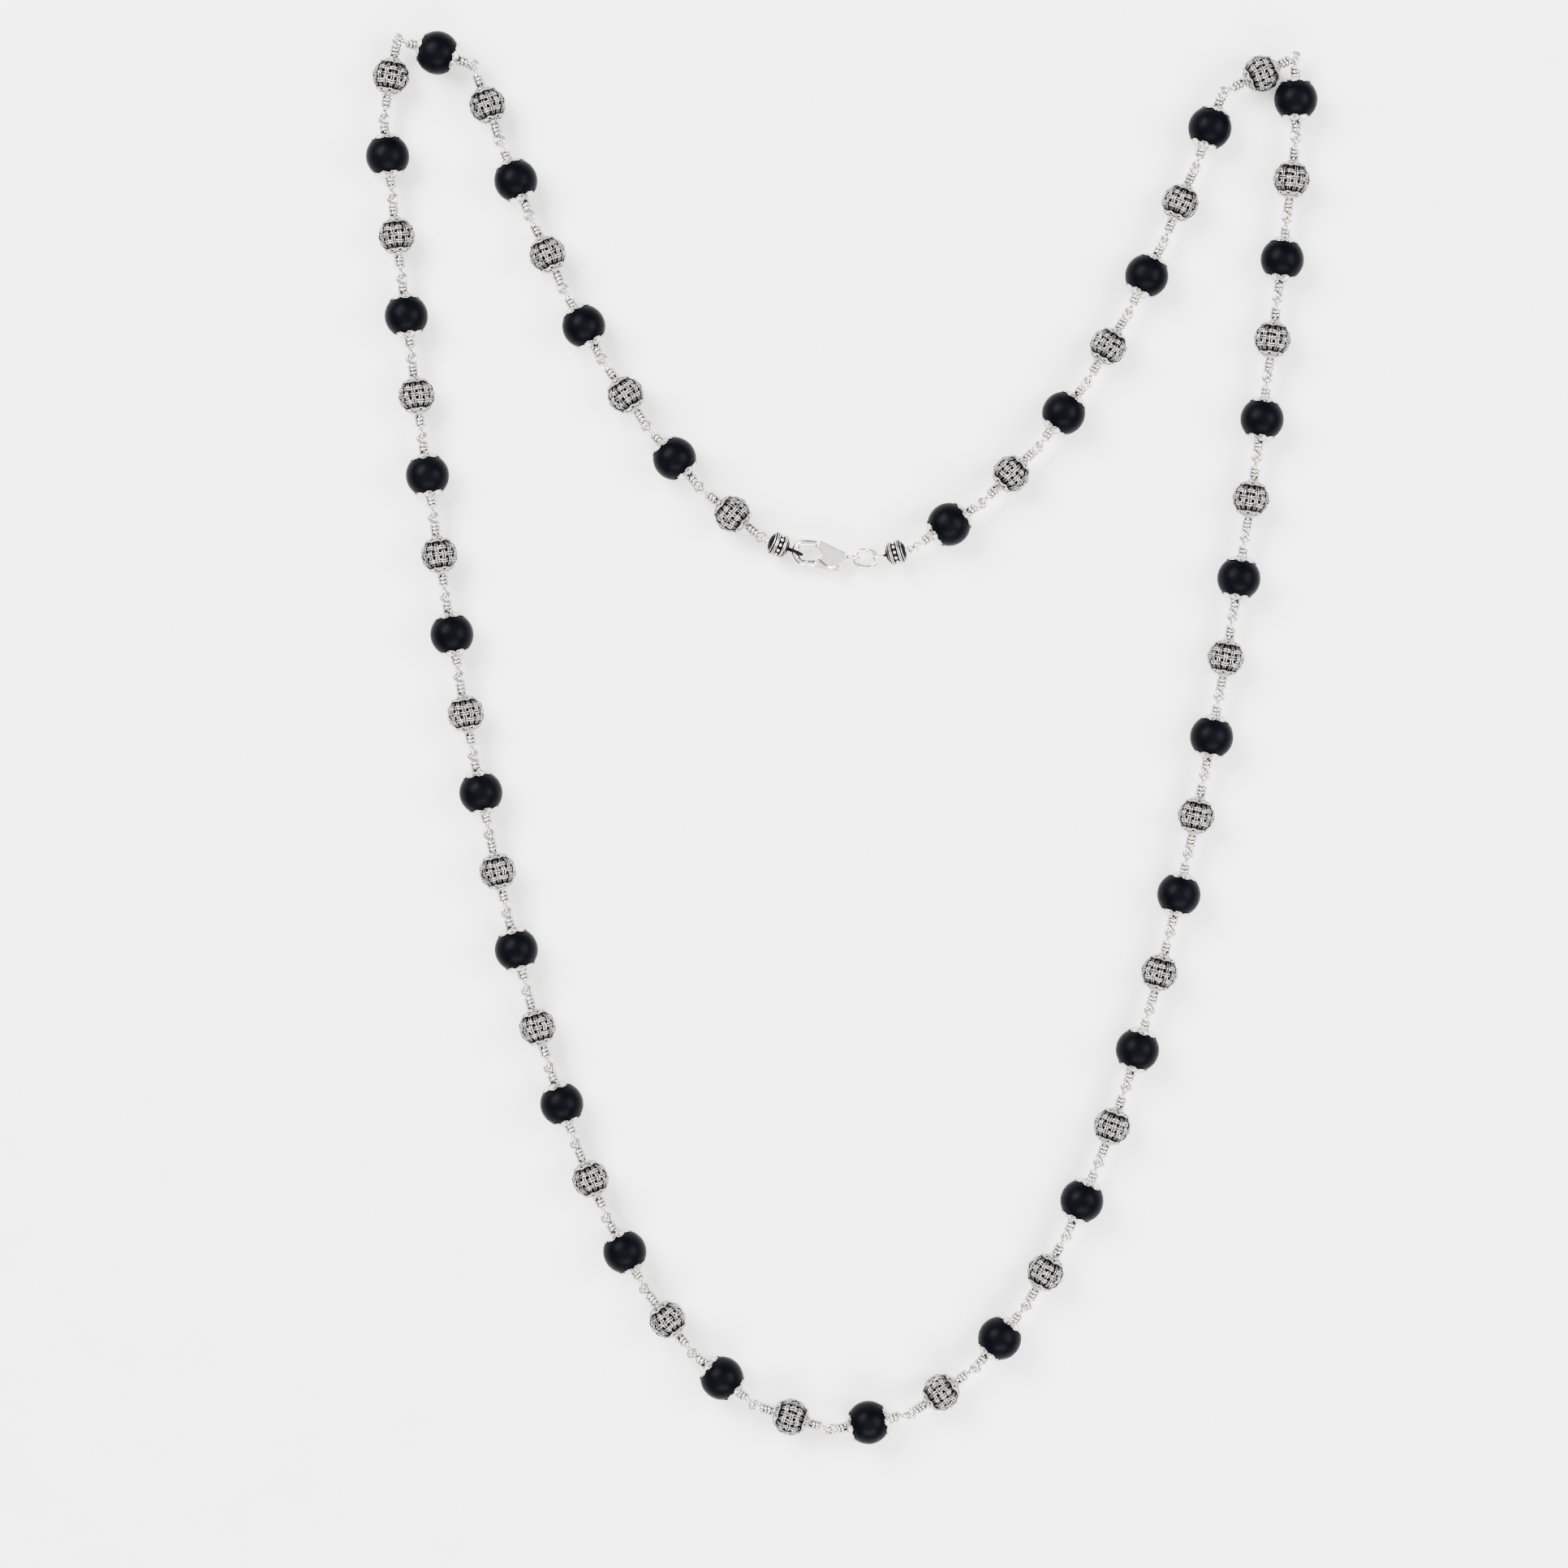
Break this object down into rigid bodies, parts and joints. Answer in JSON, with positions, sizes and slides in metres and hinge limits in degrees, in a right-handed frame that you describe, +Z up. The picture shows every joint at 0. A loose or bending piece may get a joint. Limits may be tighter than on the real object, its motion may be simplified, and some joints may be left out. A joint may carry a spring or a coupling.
{
  "type": "bead necklace",
  "caption": "Long strand of wire-wrapped bead links, black stone alternating with woven silver, closed by two small barrels, a jump ring and a lobster clasp.",
  "frame": {"origin": "middle of the strand's outline on the surface that it lies on", "axes": "+Z up from the surface, +Y towards the two folded corners, +X towards the side with the jump ring"},
  "size_m": [0.2178, 0.3232, 0.01],
  "materials": {
    "black_stone": "opaque satin black stone",
    "woven_silver": "bright woven silver wire over dark oxidised recesses",
    "polished_silver": "polished silver"
  },
  "bodies": {
    "woven_link_01": {"woven_link_01": "woven_silver"},
    "stone_link_02": {"stone_link_02": "black_stone"},
    "woven_link_03": {"woven_link_03": "woven_silver"},
    "stone_link_04": {"stone_link_04": "black_stone"},
    "woven_link_05": {"woven_link_05": "woven_silver"},
    "stone_link_06": {"stone_link_06": "black_stone"},
    "woven_link_07": {"woven_link_07": "woven_silver"},
    "stone_link_08": {"stone_link_08": "black_stone"},
    "woven_link_09": {"woven_link_09": "woven_silver"},
    "stone_link_10": {"stone_link_10": "black_stone"},
    "woven_link_11": {"woven_link_11": "woven_silver"},
    "stone_link_12": {"stone_link_12": "black_stone"},
    "woven_link_13": {"woven_link_13": "woven_silver"},
    "stone_link_14": {"stone_link_14": "black_stone"},
    "woven_link_15": {"woven_link_15": "woven_silver"},
    "stone_link_16": {"stone_link_16": "black_stone"},
    "woven_link_17": {"woven_link_17": "woven_silver"},
    "stone_link_18": {"stone_link_18": "black_stone"},
    "woven_link_19": {"woven_link_19": "woven_silver"},
    "stone_link_20": {"stone_link_20": "black_stone"},
    "woven_link_21": {"woven_link_21": "woven_silver"},
    "stone_link_22": {"stone_link_22": "black_stone"},
    "woven_link_23": {"woven_link_23": "woven_silver"},
    "stone_link_24": {"stone_link_24": "black_stone"},
    "woven_link_25": {"woven_link_25": "woven_silver"},
    "stone_link_26": {"stone_link_26": "black_stone"},
    "woven_link_27": {"woven_link_27": "woven_silver"},
    "stone_link_28": {"stone_link_28": "black_stone"},
    "woven_link_29": {"woven_link_29": "woven_silver"},
    "stone_link_30": {"stone_link_30": "black_stone"},
    "woven_link_31": {"woven_link_31": "woven_silver"},
    "stone_link_32": {"stone_link_32": "black_stone"},
    "woven_link_33": {"woven_link_33": "woven_silver"},
    "stone_link_34": {"stone_link_34": "black_stone"},
    "woven_link_35": {"woven_link_35": "woven_silver"},
    "stone_link_36": {"stone_link_36": "black_stone"},
    "woven_link_37": {"woven_link_37": "woven_silver"},
    "stone_link_38": {"stone_link_38": "black_stone"},
    "woven_link_39": {"woven_link_39": "woven_silver"},
    "stone_link_40": {"stone_link_40": "black_stone"},
    "woven_link_41": {"woven_link_41": "woven_silver"},
    "stone_link_42": {"stone_link_42": "black_stone"},
    "woven_link_43": {"woven_link_43": "woven_silver"},
    "stone_link_44": {"stone_link_44": "black_stone"},
    "woven_link_45": {"woven_link_45": "woven_silver"},
    "stone_link_46": {"stone_link_46": "black_stone"},
    "woven_link_47": {"woven_link_47": "woven_silver"},
    "stone_link_48": {"stone_link_48": "black_stone"},
    "woven_link_49": {"woven_link_49": "woven_silver"},
    "stone_link_50": {"stone_link_50": "black_stone"},
    "woven_link_51": {"woven_link_51": "woven_silver"},
    "stone_link_52": {"stone_link_52": "black_stone"},
    "woven_link_53": {"woven_link_53": "woven_silver"},
    "stone_link_54": {"stone_link_54": "black_stone"},
    "left_barrel": {"left_barrel": "polished_silver"},
    "right_barrel": {"right_barrel": "polished_silver"},
    "jump_ring": {"jump_ring": "polished_silver"},
    "clasp": {"clasp_body": "polished_silver", "clasp_pin_and_spring": "polished_silver"},
    "lever": {"clasp_lever": "polished_silver"}
  },
  "joints": [
    {"name": "turn_27", "type": "hinge", "parent": "stone_link_28", "child": "woven_link_27", "pos_m": [-0.00244, -0.15829, 0.005], "axis": [0, 0, 1], "range_deg": [0, 15]},
    {"name": "turn_26", "type": "hinge", "parent": "woven_link_27", "child": "stone_link_26", "pos_m": [-0.01996, -0.15269, 0.005], "axis": [0, 0, -1], "range_deg": [-15, 0]},
    {"name": "turn_25", "type": "hinge", "parent": "stone_link_26", "child": "woven_link_25", "pos_m": [-0.03408, -0.1409, 0.005], "axis": [0, 0, 1], "range_deg": [0, 15]},
    {"name": "turn_24", "type": "hinge", "parent": "woven_link_25", "child": "stone_link_24", "pos_m": [-0.04503, -0.12611, 0.005], "axis": [0, 0, -1], "range_deg": [-18, 0]},
    {"name": "turn_23", "type": "hinge", "parent": "stone_link_24", "child": "woven_link_23", "pos_m": [-0.05373, -0.10989, 0.005], "axis": [0, 0, 1], "range_deg": [0, 18]},
    {"name": "turn_22", "type": "hinge", "parent": "woven_link_23", "child": "stone_link_22", "pos_m": [-0.06085, -0.09293, 0.005], "axis": [0, 0, -1], "range_deg": [-18, 0]},
    {"name": "turn_21", "type": "hinge", "parent": "stone_link_22", "child": "woven_link_21", "pos_m": [-0.06685, -0.07554, 0.005], "axis": [0, 0, 1], "range_deg": [0, 18]},
    {"name": "turn_20", "type": "hinge", "parent": "woven_link_21", "child": "stone_link_20", "pos_m": [-0.07203, -0.05788, 0.005], "axis": [0, 0, -1], "range_deg": [-18, 0]},
    {"name": "turn_19", "type": "hinge", "parent": "stone_link_20", "child": "woven_link_19", "pos_m": [-0.07657, -0.04005, 0.005], "axis": [0, 0, 1], "range_deg": [0, 18]},
    {"name": "turn_18", "type": "hinge", "parent": "woven_link_19", "child": "stone_link_18", "pos_m": [-0.08061, -0.0221, 0.005], "axis": [0, 0, -1], "range_deg": [-21, 0]},
    {"name": "turn_17", "type": "hinge", "parent": "stone_link_18", "child": "woven_link_17", "pos_m": [-0.08425, -0.00406, 0.005], "axis": [0, 0, 1], "range_deg": [0, 21]},
    {"name": "turn_16", "type": "hinge", "parent": "woven_link_17", "child": "stone_link_16", "pos_m": [-0.08755, 0.01404, 0.005], "axis": [0, 0, -1], "range_deg": [-30, 30]},
    {"name": "turn_15", "type": "hinge", "parent": "stone_link_16", "child": "woven_link_15", "pos_m": [-0.09058, 0.03219, 0.005], "axis": [0, 0, 1], "range_deg": [-30, 30]},
    {"name": "turn_14", "type": "hinge", "parent": "woven_link_15", "child": "stone_link_14", "pos_m": [-0.09338, 0.05038, 0.005], "axis": [0, 0, -1], "range_deg": [-30, 30]},
    {"name": "turn_13", "type": "hinge", "parent": "stone_link_14", "child": "woven_link_13", "pos_m": [-0.09597, 0.06859, 0.005], "axis": [0, 0, 1], "range_deg": [-30, 30]},
    {"name": "turn_12", "type": "hinge", "parent": "woven_link_13", "child": "stone_link_12", "pos_m": [-0.09839, 0.08683, 0.005], "axis": [0, 0, -1], "range_deg": [-30, 30]},
    {"name": "turn_11", "type": "hinge", "parent": "stone_link_12", "child": "woven_link_11", "pos_m": [-0.10066, 0.10509, 0.005], "axis": [0, 0, 1], "range_deg": [-30, 30]},
    {"name": "turn_10", "type": "hinge", "parent": "woven_link_11", "child": "stone_link_10", "pos_m": [-0.10279, 0.12337, 0.005], "axis": [0, 0, -1], "range_deg": [-24, 24]},
    {"name": "turn_09", "type": "hinge", "parent": "stone_link_10", "child": "woven_link_09", "pos_m": [-0.10481, 0.14166, 0.005], "axis": [0, 0, 1], "range_deg": [-20, 40]},
    {"name": "turn_08", "type": "hinge", "parent": "woven_link_09", "child": "stone_link_08", "pos_m": [-0.10161, 0.15978, 0.005], "axis": [0, 0, -1], "range_deg": [-60, 12]},
    {"name": "turn_07", "type": "hinge", "parent": "stone_link_08", "child": "woven_link_07", "pos_m": [-0.08421, 0.15379, 0.005], "axis": [0, 0, 1], "range_deg": [-21, 21]},
    {"name": "turn_06", "type": "hinge", "parent": "woven_link_07", "child": "stone_link_06", "pos_m": [-0.07813, 0.13642, 0.005], "axis": [0, 0, -1], "range_deg": [-24, 24]},
    {"name": "turn_05", "type": "hinge", "parent": "stone_link_06", "child": "woven_link_05", "pos_m": [-0.07133, 0.11933, 0.005], "axis": [0, 0, 1], "range_deg": [-30, 30]},
    {"name": "turn_04", "type": "hinge", "parent": "woven_link_05", "child": "stone_link_04", "pos_m": [-0.06364, 0.10261, 0.005], "axis": [0, 0, -1], "range_deg": [-36, 36]},
    {"name": "turn_03", "type": "hinge", "parent": "stone_link_04", "child": "woven_link_03", "pos_m": [-0.05483, 0.08646, 0.005], "axis": [0, 0, 1], "range_deg": [-45, 45]},
    {"name": "turn_02", "type": "hinge", "parent": "woven_link_03", "child": "stone_link_02", "pos_m": [-0.04459, 0.07117, 0.005], "axis": [0, 0, -1], "range_deg": [-52, 52]},
    {"name": "turn_01", "type": "hinge", "parent": "stone_link_02", "child": "woven_link_01", "pos_m": [-0.03253, 0.05727, 0.005], "axis": [0, 0, 1], "range_deg": [-52, 52]},
    {"name": "turn_left_barrel", "type": "hinge", "parent": "woven_link_01", "child": "left_barrel", "pos_m": [-0.01826, 0.04566, 0.005], "axis": [0, 0, 1], "range_deg": [-104, 0]},
    {"name": "turn_29", "type": "hinge", "parent": "stone_link_28", "child": "woven_link_29", "pos_m": [0.01562, -0.15476, 0.005], "axis": [0, 0, 1], "range_deg": [-15, 0]},
    {"name": "turn_30", "type": "hinge", "parent": "woven_link_29", "child": "stone_link_30", "pos_m": [0.03062, -0.14409, 0.005], "axis": [0, 0, -1], "range_deg": [0, 15]},
    {"name": "turn_31", "type": "hinge", "parent": "stone_link_30", "child": "woven_link_31", "pos_m": [0.04224, -0.12983, 0.005], "axis": [0, 0, 1], "range_deg": [-15, 0]},
    {"name": "turn_32", "type": "hinge", "parent": "woven_link_31", "child": "stone_link_32", "pos_m": [0.0514, -0.11387, 0.005], "axis": [0, 0, -1], "range_deg": [0, 18]},
    {"name": "turn_33", "type": "hinge", "parent": "stone_link_32", "child": "woven_link_33", "pos_m": [0.05885, -0.09705, 0.005], "axis": [0, 0, 1], "range_deg": [-18, 0]},
    {"name": "turn_34", "type": "hinge", "parent": "woven_link_33", "child": "stone_link_34", "pos_m": [0.06509, -0.07974, 0.005], "axis": [0, 0, -1], "range_deg": [0, 18]},
    {"name": "turn_35", "type": "hinge", "parent": "stone_link_34", "child": "woven_link_35", "pos_m": [0.07045, -0.06213, 0.005], "axis": [0, 0, 1], "range_deg": [-18, 0]},
    {"name": "turn_36", "type": "hinge", "parent": "woven_link_35", "child": "stone_link_36", "pos_m": [0.07512, -0.04434, 0.005], "axis": [0, 0, -1], "range_deg": [-24, 24]},
    {"name": "turn_37", "type": "hinge", "parent": "stone_link_36", "child": "woven_link_37", "pos_m": [0.07927, -0.02641, 0.005], "axis": [0, 0, 1], "range_deg": [-24, 24]},
    {"name": "turn_38", "type": "hinge", "parent": "woven_link_37", "child": "stone_link_38", "pos_m": [0.083, -0.00839, 0.005], "axis": [0, 0, -1], "range_deg": [-24, 24]},
    {"name": "turn_39", "type": "hinge", "parent": "stone_link_38", "child": "woven_link_39", "pos_m": [0.08638, 0.00969, 0.005], "axis": [0, 0, 1], "range_deg": [-30, 30]},
    {"name": "turn_40", "type": "hinge", "parent": "woven_link_39", "child": "stone_link_40", "pos_m": [0.08947, 0.02783, 0.005], "axis": [0, 0, -1], "range_deg": [-30, 30]},
    {"name": "turn_41", "type": "hinge", "parent": "stone_link_40", "child": "woven_link_41", "pos_m": [0.09232, 0.04601, 0.005], "axis": [0, 0, 1], "range_deg": [-30, 30]},
    {"name": "turn_42", "type": "hinge", "parent": "woven_link_41", "child": "stone_link_42", "pos_m": [0.09496, 0.06422, 0.005], "axis": [0, 0, -1], "range_deg": [-30, 30]},
    {"name": "turn_43", "type": "hinge", "parent": "stone_link_42", "child": "woven_link_43", "pos_m": [0.09742, 0.08245, 0.005], "axis": [0, 0, 1], "range_deg": [-30, 30]},
    {"name": "turn_44", "type": "hinge", "parent": "woven_link_43", "child": "stone_link_44", "pos_m": [0.09972, 0.10071, 0.005], "axis": [0, 0, -1], "range_deg": [-30, 30]},
    {"name": "turn_45", "type": "hinge", "parent": "stone_link_44", "child": "woven_link_45", "pos_m": [0.10189, 0.11898, 0.005], "axis": [0, 0, 1], "range_deg": [-24, 24]},
    {"name": "turn_46", "type": "hinge", "parent": "woven_link_45", "child": "stone_link_46", "pos_m": [0.10393, 0.13727, 0.005], "axis": [0, 0, -1], "range_deg": [-20, 40]},
    {"name": "turn_47", "type": "hinge", "parent": "stone_link_46", "child": "woven_link_47", "pos_m": [0.10377, 0.15567, 0.005], "axis": [0, 0, 1], "range_deg": [-60, 0]},
    {"name": "turn_48", "type": "hinge", "parent": "woven_link_47", "child": "stone_link_48", "pos_m": [0.08723, 0.1476, 0.005], "axis": [0, 0, -1], "range_deg": [-20, 40]},
    {"name": "turn_49", "type": "hinge", "parent": "stone_link_48", "child": "woven_link_49", "pos_m": [0.08082, 0.13035, 0.005], "axis": [0, 0, 1], "range_deg": [-40, 20]},
    {"name": "turn_50", "type": "hinge", "parent": "woven_link_49", "child": "stone_link_50", "pos_m": [0.07362, 0.11342, 0.005], "axis": [0, 0, -1], "range_deg": [-30, 30]},
    {"name": "turn_51", "type": "hinge", "parent": "stone_link_50", "child": "woven_link_51", "pos_m": [0.06542, 0.09695, 0.005], "axis": [0, 0, 1], "range_deg": [-36, 36]},
    {"name": "turn_52", "type": "hinge", "parent": "woven_link_51", "child": "stone_link_52", "pos_m": [0.05597, 0.08116, 0.005], "axis": [0, 0, -1], "range_deg": [-45, 45]},
    {"name": "turn_53", "type": "hinge", "parent": "stone_link_52", "child": "woven_link_53", "pos_m": [0.04491, 0.06646, 0.005], "axis": [0, 0, 1], "range_deg": [-52, 52]},
    {"name": "turn_54", "type": "hinge", "parent": "woven_link_53", "child": "stone_link_54", "pos_m": [0.03184, 0.05351, 0.005], "axis": [0, 0, -1], "range_deg": [-52, 52]},
    {"name": "turn_right_barrel", "type": "hinge", "parent": "stone_link_54", "child": "right_barrel", "pos_m": [0.0164, 0.04349, 0.005], "axis": [0, 0, 1], "range_deg": [-52, 52]},
    {"name": "turn_jump_ring", "type": "hinge", "parent": "right_barrel", "child": "jump_ring", "pos_m": [0.00692, 0.04087, 0.0035], "axis": [0, 0, -1], "range_deg": [-52, 52]},
    {"name": "turn_clasp", "type": "hinge", "parent": "jump_ring", "child": "clasp", "pos_m": [0.00409, 0.04114, 0.0035], "axis": [0, 0, 1], "range_deg": [-104, 0]},
    {"name": "open_lever", "type": "hinge", "parent": "clasp", "child": "lever", "pos_m": [-0.00327, 0.03986, 0.0035], "axis": [0, 0, -1], "range_deg": [0, 20], "stiffness_Nm_per_rad": 0.0002, "springref_deg": -5.73}
  ]
}
